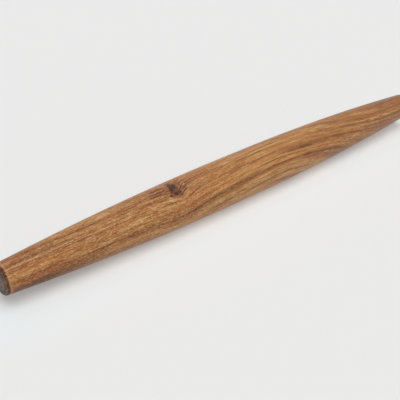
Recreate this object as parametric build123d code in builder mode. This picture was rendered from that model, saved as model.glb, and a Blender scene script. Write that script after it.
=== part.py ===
"""A tapered French rolling pin, turned from one length of hardwood.

The pin has no handles, no bearings and no core. It is a single piece of wood: a short straight
land in the middle, and on each side one long shallow arc that thins it to a rounded end. It lies
along X with its turning axis through the origin, and all sizes are in millimetres.
"""

import os

from build123d import *

# The blank on the lathe.
pin_length = 508.0
barrel_diameter = 44.45
end_diameter = 25.4

# The straight part in the middle, on which the pin lies and rolls.
land_length = 30.0

# The softened edge between each taper and its flat end.
edge_round = 2.0

# Places that follow from the sizes above.
half_length = pin_length / 2
half_land = land_length / 2
barrel_radius = barrel_diameter / 2
end_radius = end_diameter / 2

# The pin, as the lathe makes it: half of its outline, turned about the axis.
with BuildPart() as rolling_pin:
    with BuildSketch(Plane.XZ):
        with BuildLine():
            land = Line((-half_land, barrel_radius), (half_land, barrel_radius))
            right_taper = TangentArc(land @ 1, (half_length, end_radius), tangent=land % 1)
            left_taper = TangentArc(land @ 0, (-half_length, end_radius), tangent=-(land % 0))
            Polyline(right_taper @ 1, (half_length, 0), (-half_length, 0), left_taper @ 1)
        make_face()
    revolve(axis=Axis.X)

    # The two flat ends are cut across the axis, and their edges are sanded round.
    end_faces = rolling_pin.faces().filter_by(GeomType.PLANE).sort_by(Axis.X)
    fillet(end_faces.edges(), radius=edge_round)

rolling_pin.part.label = "rolling_pin"

os.makedirs("parts", exist_ok=True)
export_step(rolling_pin.part, "parts/rolling_pin.step")
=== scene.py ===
"""A tapered French rolling pin of oiled acacia, lying on a plain pale floor."""

import math

import bmesh
import bpy
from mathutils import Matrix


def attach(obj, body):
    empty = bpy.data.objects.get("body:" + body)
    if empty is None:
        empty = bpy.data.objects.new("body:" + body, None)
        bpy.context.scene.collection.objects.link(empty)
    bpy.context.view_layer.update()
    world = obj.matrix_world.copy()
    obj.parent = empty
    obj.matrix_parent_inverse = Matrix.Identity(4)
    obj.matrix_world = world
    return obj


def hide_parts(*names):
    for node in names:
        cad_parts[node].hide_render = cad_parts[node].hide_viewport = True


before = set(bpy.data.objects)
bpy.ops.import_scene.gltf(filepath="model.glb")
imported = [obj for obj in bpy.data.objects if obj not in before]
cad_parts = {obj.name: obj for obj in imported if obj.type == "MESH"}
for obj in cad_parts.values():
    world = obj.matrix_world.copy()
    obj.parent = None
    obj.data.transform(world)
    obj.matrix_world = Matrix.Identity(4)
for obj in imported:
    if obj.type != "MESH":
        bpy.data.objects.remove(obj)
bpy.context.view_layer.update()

mm = 0.001

# The camera
# It looks down on the pin from the left and in front, as the photograph does.
# The place, the turn and the lens come from fitting the pin's outline to the picture.
camera_place = (-428.9 * mm, -430.2 * mm, 329.1 * mm)
camera_heading = 41.157
camera_dip = 30.497
lens_length = 65.23
sensor_width = 36.0
nearest, farthest = 10 * mm, 100.0

camera_data = bpy.data.cameras.new("camera")
camera_data.lens = lens_length
camera_data.sensor_width = sensor_width
camera_data.clip_start = nearest
camera_data.clip_end = farthest
camera = bpy.data.objects.new("camera", camera_data)
camera.location = camera_place
camera.rotation_euler = (math.radians(90 - camera_dip), 0, math.radians(-camera_heading))
bpy.context.scene.collection.objects.link(camera)
bpy.context.scene.camera = camera
bpy.context.scene.view_settings.view_transform = "Standard"


# The studio light
# A wide soft box hangs overhead, a little to the front, and throws the short soft shadow. Two
# reflectors, one low in front and one high behind, fill the sides and throw no shadow.
def soft_light(name, strength, spread, tilt, heading, tint, throws_shadow=False):
    """A far soft light: tilt is its angle off straight down, heading the side it comes from."""
    data = bpy.data.lights.new(name, "SUN")
    data.energy = strength
    data.angle = math.radians(spread)
    data.use_shadow = throws_shadow
    data.color = tint
    lamp = bpy.data.objects.new(name, data)
    lamp.rotation_euler = (math.radians(tilt), 0, math.radians(heading))
    bpy.context.scene.collection.objects.link(lamp)


warm_white = (1.01, 1.0, 0.985)
cool_white = (0.985, 1.0, 1.015)
soft_light("soft_box", strength=1.85, spread=66, tilt=25, heading=0, tint=warm_white, throws_shadow=True)
soft_light("front_reflector", strength=0.28, spread=60, tilt=70, heading=10, tint=cool_white)
soft_light("back_reflector", strength=1.03, spread=60, tilt=20, heading=190, tint=cool_white)


# The room
# An even white room gives a little light from all round. The camera and the reflections see it
# in the pale grey of the floor.
def linear(hex_colour):
    """A colour written in sRGB hex, turned to the linear values that Blender shades with."""
    channels = []
    for place in (1, 3, 5):
        value = int(hex_colour[place : place + 2], 16) / 255
        if value <= 0.04045:
            channels.append(value / 12.92)
        else:
            channels.append(((value + 0.055) / 1.055) ** 2.4)
    return (*channels, 1.0)


def add_node(tree, kind, links=None, **settings):
    """Adds a shader node. Its links fill inputs with values, sockets or nodes' first outputs."""
    node = tree.nodes.new("ShaderNode" + kind)
    for name, value in settings.items():
        setattr(node, name, value)
    for socket, value in (links or {}).items():
        if isinstance(value, bpy.types.Node):
            value = next(output for output in value.outputs if output.enabled)
        if isinstance(value, bpy.types.NodeSocket):
            tree.links.new(value, node.inputs[socket])
        else:
            node.inputs[socket].default_value = value
    return node


pale_grey = "#EBEBEB"
room_light = 0.12

world = bpy.data.worlds.new("pale_room")
world.use_nodes = True
room = world.node_tree
room.nodes.clear()
rays = add_node(room, "LightPath").outputs
seen = add_node(room, "Math", {0: rays["Is Camera Ray"], 1: rays["Is Glossy Ray"]}, operation="MAXIMUM")
seen = add_node(room, "Math", {0: seen, 1: rays["Is Transmission Ray"]}, operation="MAXIMUM")
lit = add_node(room, "Background", {"Color": (1, 1, 1, 1), "Strength": room_light})
shown = add_node(room, "Background", {"Color": linear(pale_grey), "Strength": 1.0})
room_mix = add_node(room, "MixShader", {0: seen, 1: lit, 2: shown})
add_node(room, "OutputWorld", {0: room_mix})
bpy.context.scene.world = world

# The floor
# A matt pale sheet that the pin lies on. Round the pin it is a shade cooler, which balances the
# warm light that the wood throws on it.
cool_grey = "#E9EDEE"
cool_near, cool_far = 25 * mm, 75 * mm
paper_roughness, paper_gloss = 0.95, 0.1
floor_width = 30.0
half_length = 254.0 * mm
pin_radius = 22.225 * mm

bpy.ops.object.select_all(action="DESELECT")
bpy.ops.mesh.primitive_plane_add(size=floor_width, location=(0, 0, -pin_radius))
floor = bpy.context.object
floor.name = "floor"
bpy.ops.object.transform_apply(location=True)
paper = bpy.data.materials.new("matt_paper")
paper.use_nodes = True
sheet = paper.node_tree
pin_reach = (half_length, 0, pin_radius)
other_reach = [-reach for reach in pin_reach]
place = add_node(sheet, "TexCoord").outputs["Object"]
beside = add_node(sheet, "VectorMath", {0: place, 1: pin_reach}, operation="MINIMUM")
beside = add_node(sheet, "VectorMath", {0: beside, 1: other_reach}, operation="MAXIMUM")
from_pin = add_node(sheet, "VectorMath", {0: place, 1: beside}, operation="DISTANCE")
plain = {0: from_pin.outputs["Value"], 1: cool_near, 2: cool_far}
plain = add_node(sheet, "MapRange", plain, interpolation_type="SMOOTHSTEP")
floor_colour = {0: plain, 6: linear(cool_grey), 7: linear(pale_grey)}
floor_colour = add_node(sheet, "Mix", floor_colour, data_type="RGBA")
paper_shader = sheet.nodes["Principled BSDF"]
sheet.links.new(floor_colour.outputs["Result"], paper_shader.inputs["Base Color"])
paper_shader.inputs["Roughness"].default_value = paper_roughness
paper_shader.inputs["Specular IOR Level"].default_value = paper_gloss
floor.data.materials.append(paper)

# The rolling pin
# One length of acacia, turned between centres: a short straight land in the middle and a long
# shallow arc down to each end. The edges of the flat ends are sanded round. It is all one piece.
half_land = 15.0 * mm
end_radius = 12.7 * mm
edge_round = 2.0 * mm

taper_run = half_length - half_land
taper_drop = pin_radius - end_radius
arc_radius = (taper_run**2 + taper_drop**2) / (2 * taper_drop)
arc_centre = pin_radius - arc_radius
round_x = half_length - edge_round
round_r = arc_centre + math.sqrt((arc_radius - edge_round) ** 2 - (round_x - half_land) ** 2)
taper_end = half_land + (round_x - half_land) * arc_radius / (arc_radius - edge_round)

around = 144
taper_steps = 110
round_steps = 6
end_rings = 5
merge_distance = 0.001 * mm
smooth_angle = math.radians(40)

# How far a face's normal has to point along the pin: on the end that is being drawn out, and on
# a finished flat end.
end_facing, flat_facing = 0.9, 0.999


def turned_radius(x):
    """The pin's radius at a distance from its middle, on the straight land or on the arc."""
    past_land = max(abs(x) - half_land, 0)
    return arc_centre + math.sqrt(arc_radius**2 - past_land**2)


outline = []
for step in range(1, taper_steps + 1):
    x = half_land + (taper_end - half_land) * step / taper_steps
    outline.append((x, turned_radius(x)))
first_angle = math.acos((taper_end - round_x) / edge_round)
for step in range(1, round_steps + 1):
    angle = first_angle * (1 - step / round_steps)
    outline.append((round_x + edge_round * math.cos(angle), round_r + edge_round * math.sin(angle)))

bpy.ops.object.select_all(action="DESELECT")
bpy.ops.mesh.primitive_cylinder_add(
    vertices=around, radius=pin_radius, depth=2 * half_land, rotation=(0, math.pi / 2, 0), calc_uvs=False
)
pin = bpy.context.object
pin.name = "turned_pin"
bpy.ops.object.transform_apply(rotation=True)


def select_faces(wanted):
    """Selects the faces of the mesh being edited for which wanted(face) is true."""
    bpy.ops.mesh.select_all(action="DESELECT")
    shape = bmesh.from_edit_mesh(pin.data)
    for face in shape.faces:
        if wanted(face):
            face.select_set(True)
    bmesh.update_edit_mesh(pin.data)


bpy.ops.object.mode_set(mode="EDIT")
bpy.ops.mesh.select_mode(type="FACE")
for side in (-1, 1):
    select_faces(lambda face: face.normal.x * side > end_facing)
    last_x, last_r = half_land, pin_radius
    for x, r in outline:
        bpy.ops.mesh.extrude_region_move(TRANSFORM_OT_translate={"value": (side * (x - last_x), 0, 0)})
        scale = r / last_r
        bpy.ops.transform.resize(value=(1, scale, scale), center_override=(side * x, 0, 0))
        last_x, last_r = x, r
    for ring in range(end_rings):
        bpy.ops.mesh.inset(thickness=last_r / (end_rings + 1))
    bpy.ops.mesh.poke()
bpy.ops.mesh.select_all(action="SELECT")
bpy.ops.mesh.bisect(plane_co=(0, 0, 0), plane_no=(1, 0, 0))

# The dead knot shrank more than the wood round it, so it lies in a shallow uneven hollow.
knot_x, knot_turn = -88.0 * mm, 12.0
knot_reach = 7.5 * mm
knot_depth = 0.5 * mm
knot_lumps = 2.2 * mm
knot_patch = 1.4 * knot_reach
knot_cuts = 3


def from_knot(point):
    """How far a point of the skin lies from the middle of the knot."""
    turn = math.degrees(math.atan2(-point.y, point.z))
    return math.hypot(point.x - knot_x, math.radians(turn - knot_turn) * pin_radius)


select_faces(lambda face: from_knot(face.calc_center_median()) < knot_patch)
bpy.ops.mesh.subdivide(number_cuts=knot_cuts)
bpy.ops.mesh.select_all(action="SELECT")
bpy.ops.mesh.remove_doubles(threshold=merge_distance)
bpy.ops.mesh.normals_make_consistent(inside=False)
bpy.ops.object.mode_set(mode="OBJECT")

hollow = pin.vertex_groups.new(name="dead_knot")
for vertex in pin.data.vertices:
    closeness = 1 - from_knot(vertex.co) / knot_reach
    if closeness > 0:
        hollow.add([vertex.index], closeness * closeness * (3 - 2 * closeness), "REPLACE")
lumps = bpy.data.textures.new("knot_lumps", "CLOUDS")
lumps.noise_scale = knot_lumps
sink = pin.modifiers.new("sink", "DISPLACE")
sink.texture = lumps
sink.vertex_group = hollow.name
sink.mid_level = 0.0
sink.strength = -knot_depth
bpy.ops.object.modifier_apply(modifier=sink.name)
bpy.ops.object.shade_smooth_by_angle(angle=smooth_angle)

# A flat layout of the skin, so that a baked picture of the finish has even detail all over: the
# left half in the lower row, the right half above it, and the two end faces in a side column.
# The skin is cut open along the underside, which is half a turn from the top.
row_width, row_height, row_gap = 0.925, 0.485, 0.5
margin = 0.006
near_cut, half_turn = 0.49, 0.5
disc_place, disc_scale = 0.967, 0.027 / end_radius

layout = pin.data.uv_layers.new(name="OFBake")
skin_length = half_length + turned_radius(half_length) - round_r
for face in pin.data.polygons:
    row = margin if face.center.x < 0 else margin + row_gap
    for corner in face.loop_indices:
        point = pin.data.vertices[pin.data.loops[corner].vertex_index].co
        if abs(face.normal.x) > flat_facing:
            u = disc_place + point.y * disc_scale
            v = row + row_height / 2 + point.z * disc_scale
        else:
            r = math.hypot(point.y, point.z)
            turn = math.atan2(-point.y, point.z) / (2 * math.pi)
            if abs(turn) > near_cut:
                turn = math.copysign(half_turn - abs(abs(turn) - half_turn), -face.center.y)
            u = margin + row_width * (abs(point.x) + turned_radius(point.x) - r) / skin_length
            v = row + row_height * (turn + half_turn)
        layout.data[corner].uv = (u, v)

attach(pin, "root")
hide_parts("rolling_pin")

# The wood's finish: acacia heartwood, fine-sanded and wiped with oil. To the eye it is a warm
# brown with long darker lines, short open pores, and a low satin sheen. One dead branch left a
# knot on the top, and the growth rings bulge round it. Lengths in the nodes are millimetres,
# apart from the depth of the relief.
wood = bpy.data.materials.new("oiled_acacia")
wood.use_nodes = True
grain = wood.node_tree
grain.nodes.clear()

# The blank was sawn so that its rings face up and to the front. Along runs down the pin, across
# crosses the rings, and deep goes out through the face that shows most. Places along it are
# counted from a mark 5.5 mm right of the pin's middle.
ring_tilt = math.radians(50)
mark_shift = 5.5
per_mm = 1 / mm
place = add_node(grain, "TexCoord").outputs["Object"]
blank = {"Vector": place, "Rotation": (ring_tilt, 0, 0), "Scale": (per_mm, -per_mm, per_mm)}
blank = add_node(grain, "Mapping", {**blank, "Location": (-mark_shift, 0, 0)})
along, across, deep = add_node(grain, "SeparateXYZ", {0: blank}).outputs

# The rings are cylinders round the far-off middle of the stem, and bow along the pin. Each bow
# has its start and end along the pin, and how far it shifts the rings.
stem_radius = 150.0
bows = ((-62, 14, 4.2), (20, 205, -18.5))
sag = add_node(grain, "Math", {0: deep, 1: 2 * stem_radius}, operation="DIVIDE")
level = add_node(grain, "Math", {0: deep, 1: sag, 2: across}, operation="MULTIPLY_ADD")
for start, end, shift in bows:
    span = {"Value": along, "From Min": start, "From Max": end, "To Max": shift}
    bow = add_node(grain, "MapRange", span, interpolation_type="SMOOTHSTEP")
    level = add_node(grain, "Math", {0: level, 1: bow})

# The dead branch comes out through the top. The rings swell round it, steeply on its left, and
# dip wide and shallow below it.
branch_x, branch_deep = -94.5, 15.9
steep_height, steep_reach, left_squeeze = 20.0, 9.0, 2.5
dip_height, dip_reach = 4.0, 26.0
steep_until, dip_from = -4.0, 7.0
from_branch = add_node(grain, "VectorMath", {0: blank, 1: (branch_x, 0, branch_deep)}, operation="SUBTRACT")
from_x, _, from_deep = add_node(grain, "SeparateXYZ", {0: from_branch}).outputs
left_x = add_node(grain, "Math", {0: from_x, 1: 0.0}, operation="MINIMUM")
steep_x = add_node(grain, "Math", {0: left_x, 1: left_squeeze, 2: from_x}, operation="MULTIPLY_ADD")
steep_place = add_node(grain, "CombineXYZ", {0: steep_x, 1: from_deep})
steep_away = add_node(grain, "VectorMath", {0: steep_place}, operation="LENGTH")
steep_fall = add_node(grain, "Math", {0: steep_away, 1: -steep_reach}, operation="DIVIDE")
steep_swell = add_node(grain, "Math", {0: math.e, 1: steep_fall}, operation="POWER")
steep_swell = add_node(grain, "Math", {0: steep_swell, 1: steep_height}, operation="MULTIPLY")
dip_place = add_node(grain, "CombineXYZ", {0: from_x, 1: from_deep})
dip_squared = add_node(grain, "VectorMath", {0: dip_place, 1: dip_place}, operation="DOT_PRODUCT")
dip_fall = add_node(grain, "Math", {0: dip_squared, 1: -(dip_reach**2)}, operation="DIVIDE")
dip_swell = add_node(grain, "Math", {0: math.e, 1: dip_fall}, operation="POWER")
dip_swell = add_node(grain, "Math", {0: dip_swell, 1: dip_height}, operation="MULTIPLY")
upper_side = {"Value": across, "From Min": steep_until, "From Max": dip_from, "To Min": 1, "To Max": 0}
upper_side = add_node(grain, "MapRange", upper_side, interpolation_type="SMOOTHSTEP")
swell = add_node(grain, "Mix", {0: upper_side, 2: dip_swell, 3: steep_swell})
level = add_node(grain, "Math", {0: level, 1: swell}, operation="SUBTRACT")

# No ring is ruled with a straight edge: they wander a little.
wander_size, wander_detail, wander_depth = (40, 9, 14), 2.0, 1.6
wander = add_node(grain, "Mapping", {"Vector": blank, "Scale": [1 / length for length in wander_size]})
wander = add_node(grain, "TexNoise", {"Vector": wander, "Scale": 1.0, "Detail": wander_detail})
level = add_node(grain, "Math", {0: wander, 1: wander_depth, 2: level}, operation="MULTIPLY_ADD")
level = add_node(grain, "Math", {0: level, 1: wander_depth / 2}, operation="SUBTRACT")
rings = add_node(grain, "CombineXYZ", {0: along, 1: level, 2: deep})

# Noises stretched along the grain: the size of a patch along, across the rings and deep, with the
# detail and its roughness. Pores are about 0.2 mm wide and flecks half a millimetre in real
# acacia, too fine for the picture, so both are drawn two or three times as wide.
patterns = {
    "bands": ((170, 5.5, 60), 2.0, 0.5),
    "lines": ((120, 1.5, 30), 2.0, 0.6),
    "figure": ((16, 4, 6), 3.0, 0.6),
    "fibres": ((22, 0.75, 0.75), 1.0, 0.6),
    "flecks": ((5, 1.1, 1.1), 1.0, 0.6),
    "curl": ((2.2, 0.95, 0.95), 1.0, 0.5),
    "warmth": ((70, 4.5, 40), 3.0, 0.55),
    "pores": ((7, 0.8, 0.8), 1.0, 0.5),
    "fray": ((15, 0.9, 6), 2.0, 0.5),
}
pattern_step = (17.0, 5.0, 9.0)
noise = {}
for number, (name, (size, detail, roughness)) in enumerate(patterns.items()):
    shift = [step * number for step in pattern_step]
    stretched = {"Vector": rings, "Location": shift, "Scale": [1 / length for length in size]}
    stretched = add_node(grain, "Mapping", stretched)
    settings = {"Vector": stretched, "Scale": 1.0, "Detail": detail, "Roughness": roughness}
    noise[name] = add_node(grain, "TexNoise", settings)

# The curly, flecked grain fills the left of the pin. Right of the middle it runs straighter.
curl_fades, curl_faded, least_curl = -110, 30, 0.3
fine_weights = (("figure", 0.3), ("flecks", 0.8), ("curl", 1.7))
fibre_weight = 1.3
curly = {"Value": along, "From Min": curl_fades, "From Max": curl_faded, "To Min": 1, "To Max": least_curl}
curly = add_node(grain, "MapRange", curly, interpolation_type="SMOOTHSTEP")
fine = 0.0
for name, weight in fine_weights:
    fine = add_node(grain, "Math", {0: noise[name], 1: weight, 2: fine}, operation="MULTIPLY_ADD")
    fine = add_node(grain, "Math", {0: fine, 1: weight / 2}, operation="SUBTRACT")
fine = add_node(grain, "Math", {0: fine, 1: curly, 2: -fibre_weight / 2}, operation="MULTIPLY_ADD")
fine = add_node(grain, "Math", {0: noise["fibres"], 1: fibre_weight, 2: fine}, operation="MULTIPLY_ADD")

# Broad bands and long lines give the tone, from dark at 0 to pale at 1.
middle_tone = 0.515
band_weights = (("bands", 0.4), ("lines", 0.5))
tone = middle_tone
for name, weight in band_weights:
    tone = add_node(grain, "Math", {0: noise[name], 1: weight, 2: tone}, operation="MULTIPLY_ADD")
    tone = add_node(grain, "Math", {0: tone, 1: weight / 2}, operation="SUBTRACT")

# The tone falls toward both ends, more at the right one: where it starts, where it ends, how far.
tone_falls = ((-60, -150, 0.05), (20, 120, 0.13))
for start, end, fall in tone_falls:
    darker = {"Value": along, "From Min": start, "From Max": end, "To Max": -fall}
    darker = add_node(grain, "MapRange", darker, interpolation_type="SMOOTHSTEP")
    tone = add_node(grain, "Math", {0: tone, 1: darker})

wood_tones = ((0.1, "#6D4326"), (0.3, "#8C5C35"), (0.5, "#AA7545"), (0.7, "#BF8C54"), (0.9, "#D0A468"))
tones = add_node(grain, "ValToRGB", {0: tone})
while len(tones.color_ramp.elements) < len(wood_tones):
    tones.color_ramp.elements.new(0.5)
for stop, (position, hex_colour) in zip(tones.color_ramp.elements, wood_tones):
    stop.position = position
    stop.color = linear(hex_colour)
colour = tones

# Redder and yellower bands, where the heartwood took up more or less tannin. Each has its colour,
# the level of the noise where it starts and where it is full, and its strength.
warm_bands = (("#9A5838", 0.54, 0.72, 0.45), ("#B88846", 0.46, 0.28, 0.4))
for hex_colour, least, most, strength in warm_bands:
    amount = {"Value": noise["warmth"], "From Min": least, "From Max": most, "To Max": strength}
    amount = add_node(grain, "MapRange", amount, interpolation_type="SMOOTHSTEP")
    colour = add_node(grain, "Mix", {0: amount, 6: colour, 7: linear(hex_colour)}, data_type="RGBA")

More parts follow.
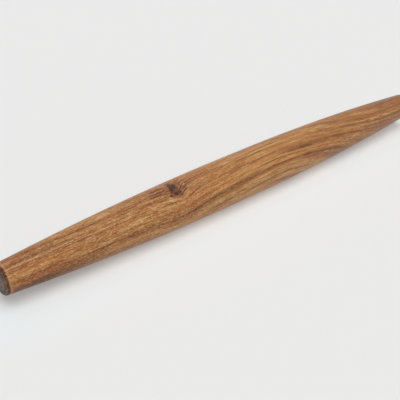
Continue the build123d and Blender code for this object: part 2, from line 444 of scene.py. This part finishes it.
# The streaks that show on this pin, listed one by one. Each is a long spindle within the rings:
# where it starts and ends along the pin, its ring, its half width and its strength. The fibres
# carry some of its colour past its edges, so the edges fray, on thin lines less. They break it up
# too, and where two of a colour cross, the stronger one shows.
face_depth, face_reach = 15.0, 110.0
spindle_reach, spindle_core = 1.38, 0.55
broad_fray, thin_fray = (26.0, 1.8, 0.0), (10.0, 0.5, 0.0)
thin_line = 0.85
noise_middle = (0.5, 0.5, 0.5)
fibre_span = {"From Min": 0.75, "From Max": 1.2}
streak_break, knot_break = {"To Min": 0.3, "To Max": 1.1}, {"To Min": 0.8, "To Max": 1.15}
# The first brown shade row, the last umber row and the widest near-black row make the underside darker near
# the left end.
streaks = {
    "#875533": (  # brown shade
        (-290, -168, 15.5, 4.5, 1.0), (-268, -198, 12.5, 4.0, 0.6), (-205, -110, 12.5, 3.4, 0.3),
        (-262, -205, -6.2, 1.7, 0.85), (-110, -40, 10.6, 2.2, 0.55), (-60, 10, 11.0, 2.6, 0.6),
        (0, 55, 11.2, 1.6, 0.5), (-34, -12, -2.6, 1.3, 0.6), (28, 92, 2.0, 3.0, 0.75),
        (70, 150, -1.0, 2.2, 0.5), (50, 135, 10.0, 2.0, 0.5), (140, 208, -15.0, 2.4, 0.5),
        (188, 262, -24.0, 3.4, 0.6), (160, 262, -7.8, 1.8, 0.5), (85, 140, -17.5, 2.6, 0.35),
        (180, 262, -18.5, 4.0, 0.35), (30, 60, -1.2, 1.8, 0.4), (-280, -200, -11.5, 2.0, 0.6),
        (165, 280, -30.5, 2.8, 0.6), (-250, -215, -8.0, 2.1, 0.7), (-140, -108, -5.0, 1.8, 0.4),
        (-172, -148, -4.7, 1.5, 0.3), (-90, -62, 5.7, 1.8, 0.7), (58, 92, 6.8, 1.6, 0.45),
        (92, 118, 6.9, 1.6, 0.55), (-125, -98, 8.0, 1.6, 0.6), (-122, -100, -1.9, 1.4, 0.35),
        (178, 210, -27.5, 1.8, 0.6), (-256, -236, 6.8, 1.5, 0.35), (128, 152, -20.5, 2.2, 0.4),
        (54, 84, -1.0, 1.8, 0.4), (80, 108, -3.8, 1.6, 0.35), (-78, -50, -6.0, 1.8, 0.4),
        (-150, -120, 9.7, 1.5, 0.35), (174, 210, -1.4, 2.0, 0.45),
    ),
    "#8F6B57": (  # grey-brown shade
        (160, 262, -2.5, 3.6, 0.5), (102, 128, -17.0, 1.8, 0.6), (195, 262, -27.0, 3.0, 0.6),
        (85, 150, 12.8, 2.4, 0.5), (-262, -225, 13.5, 2.0, 0.5), (56, 84, 12.6, 1.8, 0.4),
        (185, 215, -23.5, 2.4, 0.4), (140, 285, -32.0, 3.2, 0.6),
    ),
    "#B77A48": (  # amber
        (-92, -60, 2.5, 1.8, 0.6), (-62, -28, 3.2, 2.2, 0.5), (-8, 18, 1.6, 1.4, 0.5),
        (-55, -42, -4.5, 0.9, 0.5), (106, 122, -10.0, 1.2, 0.6), (117, 133, -20.6, 1.4, 0.5),
        (147, 170, -22.4, 1.4, 0.5), (74, 86, 17.2, 1.2, 0.5), (-140, -60, -0.5, 2.6, 0.3),
        (-242, -198, 2.0, 2.6, 0.3), (-14, 12, -1.8, 1.0, 0.4), (14, 34, 2.6, 1.2, 0.4),
        (86, 140, 5.0, 2.4, 0.35), (70, 90, 4.4, 1.2, 0.4),
    ),
    "#9C593A": (  # rust
        (-246, -233, 8.4, 1.6, 0.7), (-232, -216, 8.6, 1.5, 0.8), (-223, -194, 8.8, 1.3, 0.5),
        (-130, -96, 5.7, 2.8, 0.5), (-126, -116, 7.0, 1.6, 0.5), (-92, -56, 4.3, 0.9, 0.8),
        (-56, -44, -8.0, 1.3, 0.5), (24, 46, 11.4, 1.0, 0.7), (52, 90, 12.2, 1.6, 0.65),
        (-250, -222, -10.8, 1.0, 0.5), (78, 96, 6.0, 0.9, 0.5), (143, 168, -17.0, 1.6, 0.5),
        (166, 180, -22.5, 1.3, 0.5), (203, 226, -17.6, 2.0, 0.5), (182, 204, -19.5, 1.6, 0.45),
        (-162, -138, 12.0, 1.3, 0.6), (136, 168, 0.4, 1.4, 0.4), (178, 214, -5.6, 1.2, 0.5),
        (-72, -40, -12.0, 2.6, 0.3),
    ),
    "#C1945D": (  # pale lines and bands
        (-232, -196, -13.2, 0.7, 0.5), (-196, -138, -12.9, 0.8, 0.7), (-258, -190, -9.2, 0.7, 0.25),
        (-258, -198, -3.9, 0.8, 0.7), (-192, -160, -2.8, 0.6, 0.5), (-162, -112, -2.3, 0.6, 0.55),
        (-124, -97, -1.9, 0.8, 0.6), (-256, -205, 3.6, 0.9, 0.55), (-206, -155, 8.0, 1.1, 0.8),
        (-152, -106, 7.8, 1.2, 0.6), (-195, -125, 14.9, 0.7, 0.5), (-168, -140, -6.0, 0.6, 0.55),
        (-138, -104, -8.6, 0.8, 0.75), (-170, -112, 3.5, 0.8, 0.5), (-124, -98, 2.0, 0.8, 0.8),
        (-82, -62, 14.9, 0.7, 0.6), (-68, -28, 15.3, 0.9, 1.0), (-30, 8, 15.1, 0.7, 0.9),
        (4, 40, 14.1, 0.6, 0.5), (-82, -42, -10.4, 0.8, 0.6), (-82, -36, 1.6, 0.8, 0.6),
        (-36, -12, 2.6, 0.8, 0.7), (-14, 40, 4.4, 0.7, 0.6), (48, 80, 5.0, 0.6, 0.6),
        (84, 140, 4.2, 0.6, 0.6), (-86, -20, 7.7, 0.7, 0.5), (-22, -4, 6.6, 0.6, 0.7),
        (2, 64, 8.3, 0.8, 0.9), (60, 132, 7.4, 0.7, 0.65), (-30, -2, -11.0, 0.7, 0.6),
        (-6, 50, -9.2, 0.8, 0.75), (44, 76, -10.4, 0.9, 0.7), (74, 132, -11.9, 0.8, 0.6),
        (134, 186, -10.8, 0.8, 0.7), (178, 236, -10.4, 0.7, 0.8), (-30, 36, -5.1, 0.5, 0.5),
        (34, 70, -4.5, 0.7, 0.75), (-24, 16, 21.8, 0.6, 0.5), (10, 70, 21.1, 0.8, 0.8),
        (-16, 34, 18.7, 0.5, 0.5), (38, 78, 16.3, 0.7, 0.7), (138, 184, 1.8, 0.6, 0.5),
        (122, 230, -6.2, 0.6, 0.55), (146, 168, -20.5, 0.8, 0.7), (162, 190, -19.0, 0.8, 0.7),
        (80, 118, 11.9, 0.5, 0.5), (-4, 20, -2.4, 0.6, 0.5), (98, 116, 1.0, 0.5, 0.5),
        (-40, 60, 20.5, 3.4, 0.8), (20, 100, 19.5, 3.4, 0.75), (-92, -20, 15.5, 2.6, 0.4),
        (-206, -122, -14.5, 2.4, 0.75), (165, 215, -9.8, 2.0, 0.8), (118, 165, 1.5, 2.2, 0.45),
        (-55, 40, 16.5, 2.5, 0.8), (-175, -108, 4.0, 1.8, 0.75), (-200, -168, 6.3, 1.6, 0.4),
        (-55, -10, -0.6, 1.8, 0.45), (-45, 20, -13.8, 2.4, 0.5), (60, 115, -14.5, 2.8, 0.55),
        (120, 170, -25.6, 1.8, 0.3), (0, 44, 9.6, 1.0, 0.5), (122, 160, -4.8, 1.8, 0.5),
    ),
    "#754727": (  # umber lines
        (-250, -205, -10.8, 0.5, 0.6), (-215, -150, -10.2, 0.6, 1.0), (-150, -134, -9.8, 0.6, 0.8),
        (-256, -197, -6.1, 0.9, 1.0), (-248, -205, -2.0, 0.4, 0.5), (-215, -185, -1.6, 0.45, 0.75),
        (-186, -160, -0.4, 0.45, 0.65), (-258, -210, 7.2, 0.6, 0.75), (-212, -196, 10.4, 0.6, 0.8),
        (-200, -164, 10.4, 0.6, 0.95), (-162, -140, 10.6, 0.6, 0.6), (-140, -120, 10.5, 0.5, 0.6),
        (-137, -112, -6.0, 0.7, 1.0), (-170, -152, -4.4, 0.5, 0.8), (-156, -142, -7.6, 0.6, 0.7),
        (-122, -98, 11.5, 0.6, 0.7), (-98, -50, 10.3, 0.7, 0.85), (-88, -30, -3.5, 0.5, 0.75),
        (-36, -8, -2.2, 0.55, 0.9), (-12, 16, -1.0, 0.5, 0.8), (12, 50, 0.4, 0.45, 0.6),
        (-70, -52, 5.4, 0.6, 0.75), (-2, 36, 6.2, 0.55, 1.0), (36, 64, 6.4, 0.5, 0.6),
        (-78, -50, -14.2, 0.6, 0.8), (-52, -24, -11.0, 0.5, 0.6), (-26, -6, -8.8, 0.55, 0.9),
        (-14, 24, -7.5, 0.6, 1.0), (20, 54, -6.6, 0.5, 0.7), (-10, 44, -11.2, 0.45, 0.5),
        (46, 80, -12.8, 0.5, 0.5), (102, 128, -16.9, 0.7, 0.6), (-64, -36, 17.5, 0.6, 0.9),
        (-36, -22, 17.0, 0.5, 0.7), (-28, 20, 20.2, 0.6, 0.85), (8, 68, 19.4, 0.6, 0.95),
        (8, 50, 23.8, 0.5, 0.7), (10, 28, 15.3, 0.45, 0.5), (0, 26, 11.0, 0.9, 0.9),
        (22, 54, 11.2, 0.9, 1.0), (26, 56, 3.0, 0.6, 0.8), (50, 76, 2.8, 0.7, 0.9),
        (66, 90, 0.1, 0.7, 0.8), (84, 160, -1.2, 0.75, 1.0), (155, 206, -1.5, 0.5, 0.6),
        (72, 92, 2.2, 0.5, 0.5), (54, 90, 10.4, 0.9, 1.0), (84, 130, 9.8, 0.7, 0.9),
        (62, 76, 13.3, 0.5, 0.5), (100, 118, 13.4, 0.5, 0.5), (100, 150, -8.2, 0.6, 0.6),
        (158, 240, -8.1, 0.8, 1.0), (126, 146, -15.0, 0.6, 0.6), (144, 174, -13.5, 0.7, 0.85),
        (166, 240, -15.4, 0.8, 0.75), (150, 260, -23.6, 0.8, 0.5), (158, 240, -4.5, 0.5, 0.65),
        (112, 136, 2.7, 0.4, 0.4), (-150, -118, 13.2, 0.5, 0.5), (-184, -170, -14.5, 0.4, 0.5),
        (-262, -180, 15.0, 1.5, 0.8),
    ),
    "#56321A": (  # near-black mineral streaks
        (-158, -149, 11.0, 1.1, 0.35), (-62, -22, 10.3, 1.3, 0.45), (-24, 0, 11.6, 1.0, 0.4),
        (-57, -51, 9.0, 0.9, 0.6), (54, 72, 1.9, 1.5, 0.8), (56, 71, 10.8, 0.8, 0.4),
        (-20, -4, -8.5, 0.4, 0.4), (12, 24, 6.1, 0.4, 0.5), (196, 214, -23.8, 0.8, 0.4),
        (-200, -168, -10.3, 0.35, 0.6), (102, 124, -1.3, 0.4, 0.4), (-18, -4, 11.7, 0.6, 0.5),
        (-104, -60, 10.1, 0.8, 0.5), (-300, -212, 13.3, 2.2, 0.9), (205, 280, -30.0, 1.9, 0.8),
    ),
}
fray_noise = {0: noise["fray"].outputs["Color"], 1: noise_middle}
fray_noise = add_node(grain, "VectorMath", fray_noise, operation="SUBTRACT")
frayed = add_node(grain, "VectorMath", {0: fray_noise, 1: broad_fray, 2: rings}, operation="MULTIPLY_ADD")
ruled = add_node(grain, "VectorMath", {0: fray_noise, 1: thin_fray, 2: rings}, operation="MULTIPLY_ADD")
breakup = add_node(grain, "Math", {0: noise["fibres"], 1: noise["figure"]})
knot_breakup = add_node(grain, "MapRange", {"Value": breakup, **fibre_span, **knot_break})
breakup = add_node(grain, "MapRange", {"Value": breakup, **fibre_span, **streak_break})


def add_spindle(family, vector, middle, reach, strength, turn=(0, 0, 0)):
    """Lays a spindle, full in its core and soft at its edge, over the others of its colour."""
    spindle = {"Vector": vector, "Location": middle, "Rotation": turn, "Scale": reach}
    spindle = add_node(grain, "Mapping", spindle, vector_type="TEXTURE")
    spindle = add_node(grain, "TexGradient", {0: spindle}, gradient_type="SPHERICAL").outputs["Fac"]
    spindle = {"Value": spindle, "From Max": spindle_core, "To Max": strength}
    spindle = add_node(grain, "MapRange", spindle, interpolation_type="SMOOTHSTEP")
    return add_node(grain, "Math", {0: spindle, 1: family}, operation="MAXIMUM")


for hex_colour, rows in streaks.items():
    family = 0.0
    for start, end, ring, half_width, strength in rows:
        vector = ruled if half_width < thin_line else frayed
        middle = ((start + end) / 2, ring, face_depth)
        reach = ((end - start) / 2 * spindle_reach, half_width * spindle_reach, face_reach)
        family = add_spindle(family, vector, middle, reach, strength)
    family = add_node(grain, "Math", {0: family, 1: breakup}, operation="MULTIPLY", use_clamp=True)
    colour = add_node(grain, "Mix", {0: family, 6: colour, 7: linear(hex_colour)}, data_type="RGBA")

# The knot: the dead branch's dark core, the reddish wood that grew round it, and dark bark
# pockets under it. A mark has its place along the pin, its turn round it from the top to the
# front, its half length, its half height, its tilt and its strength.
mark_depth = 6.0
marks = {
    "#774633": (  # reddish wood round the knot
        (-92, 17, 10.5, 8.5, 0, 0.65), (-109, 8, 11.0, 6.0, 0, 0.45), (-82, 20, 9.5, 8.0, 0, 0.2),
        (-88, 3, 4.0, 1.1, -62, 0.7), (-94.5, -7, 4.0, 2.2, -70, 0.6),
    ),
    "#C1956A": (  # pale lines
        (-103, 42, 5.0, 0.5, 8, 0.35), (-96, 46, 4.0, 0.6, 8, 0.6), (-111, 39.5, 4.0, 0.5, 0, 0.6),
        (-96, 57, 6.0, 0.8, 0, 0.5), (-110, 5.5, 6.0, 0.5, 10, 0.4), (-104, 6, 4.0, 0.4, 12, 0.4),
        (-76, 25, 5.0, 0.6, -12, 0.5), (-87, 16.5, 3.4, 0.4, -38, 0.5), (-80.5, 8, 6.0, 0.45, -12, 0.5),
        (-86.5, 28, 3.8, 0.5, -33, 0.4), (-80, -3, 5.0, 0.5, -14, 0.5), (-85, 36, 4.0, 0.6, -15, 0.5),
        (-79, 15, 6.0, 0.35, -8, 0.5),
    ),
    "#4E2712": (  # crowded rings
        (-84, -5, 3.4, 0.5, -42, 0.6), (-82, 4, 8.0, 0.5, -14, 0.65), (-79.5, 12.6, 8.5, 0.4, -8, 0.75),
        (-87.3, 18.8, 2.6, 0.5, -34, 0.8), (-79, 17.6, 7.0, 0.4, -8, 0.65), (-88.8, 23, 3.6, 0.5, -34, 0.85),
        (-91, 20.5, 2.2, 0.5, -50, 0.8), (-84.8, 24.4, 4.0, 0.5, -27, 0.8), (-84.5, 31, 3.2, 0.5, -18, 0.65),
        (-78, 34, 7.0, 0.45, -8, 0.3), (-78, 44.5, 8.0, 0.5, -12, 0.6), (-109, 0.5, 8.0, 0.55, 0, 0.9),
        (-109, 9.7, 8.5, 0.6, 1, 1.0), (-114, 17.8, 7.5, 0.55, 1, 0.95), (-106, 29.5, 4.0, 0.5, 4, 0.6),
        (-109, 35.5, 5.0, 0.5, 0, 0.6), (-105, 48.8, 6.5, 0.5, 2, 0.7), (-97, 50.5, 3.0, 0.5, 5, 0.5),
        (-104, 23, 4.0, 0.5, 12, 0.6), (-94.5, 24, 4.5, 5.5, 0, 0.45),
    ),
    "#451B08": (  # bark pockets
        (-97, 18, 1.8, 2.0, 20, 1.0), (-98.3, 25, 1.1, 1.4, 20, 0.7), (-100.6, 32, 1.8, 1.3, 10, 0.9),
        (-95, 31.3, 2.6, 2.0, -10, 0.9), (-92.3, 29, 1.1, 1.0, 0, 0.65), (-90.3, 31, 1.5, 1.1, 0, 0.85),
        (-90.2, 37.3, 2.5, 1.2, 0, 0.65), (-98.5, 36.5, 1.5, 1.5, 0, 0.5), (-94.5, 23, 1.5, 1.3, 0, 0.5),
    ),
    "#1C0F0B": (  # the branch's core
        (-94.6, 6, 2.5, 4.2, 12, 0.88), (-92.4, 9, 2.4, 3.2, 0, 0.9), (-93.6, 5, 2.4, 3.4, 0, 0.75),
    ),
    "#48302F": (  # the greyer heart of the core
        (-92.6, 13.5, 1.9, 1.8, 0, 0.7),
    ),
}
for hex_colour, rows in marks.items():
    family = 0.0
    for mark_x, mark_turn, half_long, half_high, tilt, strength in rows:
        skin = turned_radius((mark_x + mark_shift) * mm) / mm
        angle = math.radians(mark_turn) - ring_tilt
        middle = (mark_x, skin * math.sin(angle), skin * math.cos(angle))
        reach = (half_long * spindle_reach, half_high * spindle_reach, mark_depth)
        turn = (-angle, 0, math.radians(tilt))
        family = add_spindle(family, blank, middle, reach, strength, turn)
    family = add_node(grain, "Math", {0: family, 1: knot_breakup}, operation="MULTIPLY", use_clamp=True)
    colour = add_node(grain, "Mix", {0: family, 6: colour, 7: linear(hex_colour)}, data_type="RGBA")

# End grain drinks more oil and goes darker. The rounded edge of the end is a little paler. The wood
# beside it, the rim, is paler still: partly rubbed by handling, partly a painted highlight. The
# tones of the end go from its middle out, and the rings cross them.
rim_starts, rim_full, rim_fades, rim_ends = 249.0, 249.8, 250.6, 251.1
end_starts, end_full = 251.1, 251.6
rim_wear_and_highlight_colour, rim_wear_and_highlight_strength, end_strength = "#C0926F", 0.4, 0.95
end_tones = ((7.5, "#6A584E"), (9.2, "#54423A"), (11.0, "#503E34"), (12.0, "#806252"), (12.6, "#573828"))
end_unevenness, end_ring_depth = 1.6, 1.4
from_middle = add_node(grain, "Math", {0: along, 1: mark_shift})
from_middle = add_node(grain, "Math", {0: from_middle}, operation="ABSOLUTE")
rim_wear_and_highlight = {"Value": from_middle, "From Min": rim_starts, "From Max": rim_full, "To Max": rim_wear_and_highlight_strength}
rim_wear_and_highlight = add_node(grain, "MapRange", rim_wear_and_highlight)
rim_fade = {"Value": from_middle, "From Min": rim_fades, "From Max": rim_ends, "To Min": 1, "To Max": 0}
rim_fade = add_node(grain, "MapRange", rim_fade)
rim_wear_and_highlight = add_node(grain, "Math", {0: rim_wear_and_highlight, 1: rim_fade}, operation="MULTIPLY")
# The rim's paler band: partly wear, partly a painted highlight.
colour = add_node(grain, "Mix", {0: rim_wear_and_highlight, 6: colour, 7: linear(rim_wear_and_highlight_colour)}, data_type="RGBA")
end_grain = {"Value": from_middle, "From Min": end_starts, "From Max": end_full, "To Max": end_strength}
end_grain = add_node(grain, "MapRange", end_grain)
away = add_node(grain, "CombineXYZ", {0: across, 1: deep})
away = add_node(grain, "VectorMath", {0: away}, operation="LENGTH").outputs["Value"]
away = add_node(grain, "Math", {0: noise["figure"], 1: end_unevenness, 2: away}, operation="MULTIPLY_ADD")
away = add_node(grain, "Math", {0: away, 1: end_unevenness / 2}, operation="SUBTRACT")
away = add_node(grain, "Math", {0: away, 1: end_radius / mm}, operation="DIVIDE")
end_colour = add_node(grain, "ValToRGB", {0: away})
while len(end_colour.color_ramp.elements) < len(end_tones):
    end_colour.color_ramp.elements.new(0.5)
for stop, (radius, hex_colour) in zip(end_colour.color_ramp.elements, end_tones):
    stop.position = radius * mm / end_radius
    stop.color = linear(hex_colour)
crossing = {0: tone, 1: -end_ring_depth, 2: 1 + end_ring_depth / 2}
crossing = add_node(grain, "Math", crossing, operation="MULTIPLY_ADD")
end_colour = add_node(grain, "Gamma", {"Color": end_colour, "Gamma": crossing})
colour = add_node(grain, "Mix", {0: end_grain, 6: colour, 7: end_colour}, data_type="RGBA")

# The fine figure is laid over all of these. A gamma above 1 deepens a colour and reddens it, as a
# darker fibre does.
fine_depth = 0.68
fine = add_node(grain, "Math", {0: fine, 1: -fine_depth, 2: 1.0}, operation="MULTIPLY_ADD")
colour = add_node(grain, "Gamma", {"Color": colour, "Gamma": fine})

# Pores: short dark dashes along the fibres.
pore_edge, pore_middle, pore_strength = 0.6, 0.7, 0.5
pore_colour = "#6A4024"
pores = {"Value": noise["pores"], "From Min": pore_edge, "From Max": pore_middle}
pores = add_node(grain, "MapRange", pores, interpolation_type="SMOOTHSTEP")
pore_tint = add_node(grain, "Math", {0: pores, 1: pore_strength}, operation="MULTIPLY")
colour = add_node(grain, "Mix", {0: pore_tint, 6: colour, 7: linear(pore_colour)}, data_type="RGBA")

# The oil sinks into pores and end grain and leaves them duller.
least_roughness, uneven_roughness, dulling = 0.4, 0.2, 0.18
roughness = {0: noise["figure"], 1: uneven_roughness, 2: least_roughness}
roughness = add_node(grain, "Math", roughness, operation="MULTIPLY_ADD")
dull = add_node(grain, "Math", {0: pores, 1: end_grain}, operation="MAXIMUM")
roughness = add_node(grain, "Math", {0: dull, 1: dulling, 2: roughness}, operation="MULTIPLY_ADD")

# Sanding leaves the pores and the softer fibres a few hundredths of a millimetre low.
relief_depth, relief_strength = 0.06 * mm, 0.6
fibre_share, pore_share = 0.35, 0.8
relief = add_node(grain, "Math", {0: noise["fibres"], 1: fibre_share}, operation="MULTIPLY")
relief = add_node(grain, "Math", {0: pores, 1: -pore_share, 2: relief}, operation="MULTIPLY_ADD")
bump = add_node(grain, "Bump", {"Height": relief, "Distance": relief_depth, "Strength": relief_strength})

# Seen along the surface, the thin film of oil and the raised fibres give it a pale sheen.
finish = {
    "Base Color": colour, "Roughness": roughness, "Normal": bump, "IOR": 1.48,
    "Specular IOR Level": 0.2, "Sheen Weight": 0.16, "Sheen Roughness": 0.4,
}
finish = add_node(grain, "BsdfPrincipled", finish)
add_node(grain, "OutputMaterial", {0: finish})
pin.data.materials.append(wood)
